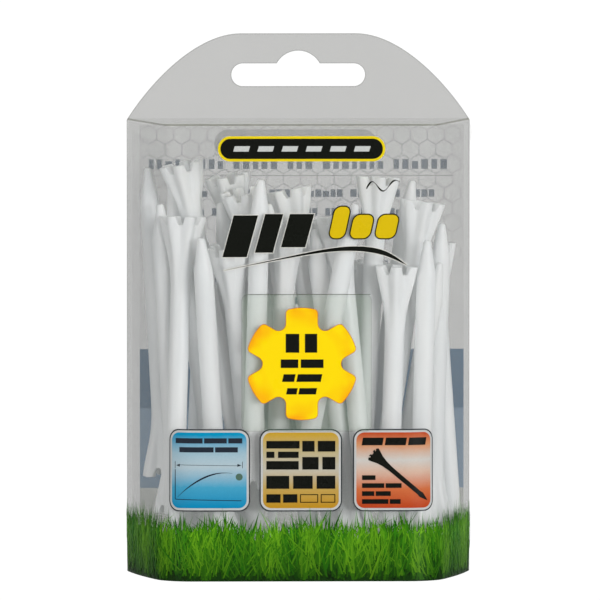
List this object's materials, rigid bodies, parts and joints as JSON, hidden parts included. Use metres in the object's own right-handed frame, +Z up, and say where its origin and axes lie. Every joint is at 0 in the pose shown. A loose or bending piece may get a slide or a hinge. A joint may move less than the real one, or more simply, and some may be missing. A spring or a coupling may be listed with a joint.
{
  "type": "golf tee pack",
  "caption": "Clear folded plastic hanging pack with a bowed front, tuck-in lid and printed graphics, filled with loose white pronged plastic golf tees.",
  "frame": {"origin": "middle of the pack's base", "axes": "+Z up the pack to its hang tab, +Y out of the flat back panel, so the bowed front faces -Y"},
  "size_m": [0.077, 0.0286, 0.121],
  "materials": {
    "clear_sheet": "clear, glossy thin sheet",
    "clear_sticker": "clear sticker",
    "white_plastic": "smooth moulded, semi-gloss"
  },
  "bodies": {
    "carton": {"back_panel": "clear_sheet", "front_wrap": "clear_sheet", "seam_flap": "clear_sheet", "size_label": "clear_sticker"},
    "lid": {"top_lid": "clear_sheet"},
    "lid_tab": {"top_tuck": "clear_sheet"},
    "base": {"base_flap": "clear_sheet", "base_tuck": "clear_sheet"},
    "tee_01": {"tee_01": "white_plastic"},
    "tee_02": {"tee_02": "white_plastic"},
    "tee_03": {"tee_03": "white_plastic"},
    "tee_04": {"tee_04": "white_plastic"},
    "tee_05": {"tee_05": "white_plastic"},
    "tee_06": {"tee_06": "white_plastic"},
    "tee_07": {"tee_07": "white_plastic"},
    "tee_08": {"tee_08": "white_plastic"},
    "tee_09": {"tee_09": "white_plastic"},
    "tee_10": {"tee_10": "white_plastic"},
    "tee_11": {"tee_11": "white_plastic"},
    "tee_12": {"tee_12": "white_plastic"},
    "tee_13": {"tee_13": "white_plastic"},
    "tee_14": {"tee_14": "white_plastic"},
    "tee_15": {"tee_15": "white_plastic"},
    "tee_16": {"tee_16": "white_plastic"},
    "tee_17": {"tee_17": "white_plastic"},
    "tee_18": {"tee_18": "white_plastic"},
    "tee_19": {"tee_19": "white_plastic"},
    "tee_20": {"tee_20": "white_plastic"},
    "tee_21": {"tee_21": "white_plastic"},
    "tee_22": {"tee_22": "white_plastic"},
    "tee_23": {"tee_23": "white_plastic"},
    "tee_24": {"tee_24": "white_plastic"},
    "tee_25": {"tee_25": "white_plastic"},
    "tee_26": {"tee_26": "white_plastic"},
    "tee_27": {"tee_27": "white_plastic"},
    "tee_28": {"tee_28": "white_plastic"},
    "tee_29": {"tee_29": "white_plastic"},
    "tee_30": {"tee_30": "white_plastic"}
  },
  "joints": [
    {"name": "lid_hinge", "type": "hinge", "parent": "carton", "child": "lid", "pos_m": [0, -0.01375, 0.102], "axis": [1, 0, 0], "range_deg": [0, 170]},
    {"name": "lid_tab_crease", "type": "hinge", "parent": "lid", "child": "lid_tab", "pos_m": [0, 0.01306, 0.10129], "axis": [-1, 0, 0], "range_deg": [0, 45]},
    {"name": "base_hinge", "type": "hinge", "parent": "carton", "child": "base", "pos_m": [0, 0.01355, 0], "axis": [1, 0, 0], "range_deg": [0, 150]},
    {"name": "tee_01_slide", "type": "slide", "parent": "carton", "child": "tee_01", "axis": [-0.054, 0.0168, 0.9984], "range_m": [0, 0.003]},
    {"name": "tee_02_slide", "type": "slide", "parent": "carton", "child": "tee_02", "axis": [0.0304, 0.0455, 0.9985], "range_m": [0, 0.003]},
    {"name": "tee_03_slide", "type": "slide", "parent": "carton", "child": "tee_03", "axis": [-0.153, 0.0791, 0.985], "range_m": [0, 0.002]},
    {"name": "tee_04_slide", "type": "slide", "parent": "carton", "child": "tee_04", "axis": [-0.1979, -0.0275, 0.9798], "range_m": [0, 0.003]},
    {"name": "tee_05_slide", "type": "slide", "parent": "carton", "child": "tee_05", "axis": [-0.0616, -0.0988, 0.9932], "range_m": [0, 0.003]},
    {"name": "tee_06_slide", "type": "slide", "parent": "carton", "child": "tee_06", "axis": [0.0271, -0.0524, 0.9983], "range_m": [0, 0.003]},
    {"name": "tee_07_slide", "type": "slide", "parent": "carton", "child": "tee_07", "axis": [0.0505, -0.0957, 0.9941], "range_m": [0, 0.003]},
    {"name": "tee_08_slide", "type": "slide", "parent": "carton", "child": "tee_08", "axis": [-0.1253, -0.052, 0.9908], "range_m": [0, 0.003]},
    {"name": "tee_09_slide", "type": "slide", "parent": "carton", "child": "tee_09", "axis": [0.1919, -0.0539, 0.9799], "range_m": [0, 0.003]},
    {"name": "tee_10_slide", "type": "slide", "parent": "carton", "child": "tee_10", "axis": [0.0327, 0.0054, 0.9994], "range_m": [0, 0.003]},
    {"name": "tee_11_slide", "type": "slide", "parent": "carton", "child": "tee_11", "axis": [0.1456, 0.0366, 0.9887], "range_m": [0, 0.003]},
    {"name": "tee_12_slide", "type": "slide", "parent": "carton", "child": "tee_12", "axis": [0.149, 0.1131, 0.9824], "range_m": [0, 0.002]},
    {"name": "tee_13_slide", "type": "slide", "parent": "carton", "child": "tee_13", "axis": [0.0255, -0.0581, 0.998], "range_m": [0, 0.003]},
    {"name": "tee_14_slide", "type": "slide", "parent": "carton", "child": "tee_14", "axis": [-0.0702, -0.0543, 0.9961], "range_m": [0, 0.003]},
    {"name": "tee_15_slide", "type": "slide", "parent": "carton", "child": "tee_15", "axis": [-0.0972, 0.0664, 0.9931], "range_m": [0, 0.003]},
    {"name": "tee_16_slide", "type": "slide", "parent": "carton", "child": "tee_16", "axis": [-0.1252, 0.0092, 0.9921], "range_m": [0, 0.001]},
    {"name": "tee_17_slide", "type": "slide", "parent": "carton", "child": "tee_17", "axis": [-0.055, 0.005, 0.9985], "range_m": [0, 0.002]},
    {"name": "tee_18_slide", "type": "slide", "parent": "carton", "child": "tee_18", "axis": [0.0409, 0.0523, 0.9978], "range_m": [0, 0.002]},
    {"name": "tee_19_slide", "type": "slide", "parent": "carton", "child": "tee_19", "axis": [-0.0654, 0.0517, 0.9965], "range_m": [0, 0.003]},
    {"name": "tee_20_slide", "type": "slide", "parent": "carton", "child": "tee_20", "axis": [-0.0993, -0.1247, 0.9872], "range_m": [0, 0.003]},
    {"name": "tee_21_slide", "type": "slide", "parent": "carton", "child": "tee_21", "axis": [-0.1644, -0.0498, 0.9851], "range_m": [0, 0.001]},
    {"name": "tee_22_slide", "type": "slide", "parent": "carton", "child": "tee_22", "axis": [-0.1666, -0.1472, 0.975], "range_m": [0, 0.003]},
    {"name": "tee_23_slide", "type": "slide", "parent": "carton", "child": "tee_23", "axis": [-0.1557, -0.0539, 0.9863], "range_m": [0, 0.002]},
    {"name": "tee_24_slide", "type": "slide", "parent": "carton", "child": "tee_24", "axis": [-0.1682, -0.0649, 0.9836], "range_m": [0, 0.001]},
    {"name": "tee_25_slide", "type": "slide", "parent": "carton", "child": "tee_25", "axis": [-0.172, 0.0463, 0.984], "range_m": [0, 0.003]},
    {"name": "tee_26_slide", "type": "slide", "parent": "carton", "child": "tee_26", "axis": [0.0513, 0.0403, 0.9979], "range_m": [0, 0.003]},
    {"name": "tee_27_slide", "type": "slide", "parent": "carton", "child": "tee_27", "axis": [0.0142, -0.0531, 0.9985], "range_m": [0, 0.003]},
    {"name": "tee_28_slide", "type": "slide", "parent": "carton", "child": "tee_28", "axis": [0.0967, -0.0678, 0.993], "range_m": [0, 0.003]},
    {"name": "tee_29_slide", "type": "slide", "parent": "carton", "child": "tee_29", "axis": [0.1714, -0.1205, 0.9778], "range_m": [0, 0.0025]},
    {"name": "tee_30_slide", "type": "slide", "parent": "carton", "child": "tee_30", "axis": [0.0299, -0.0852, 0.9959], "range_m": [0, 0.001]}
  ]
}
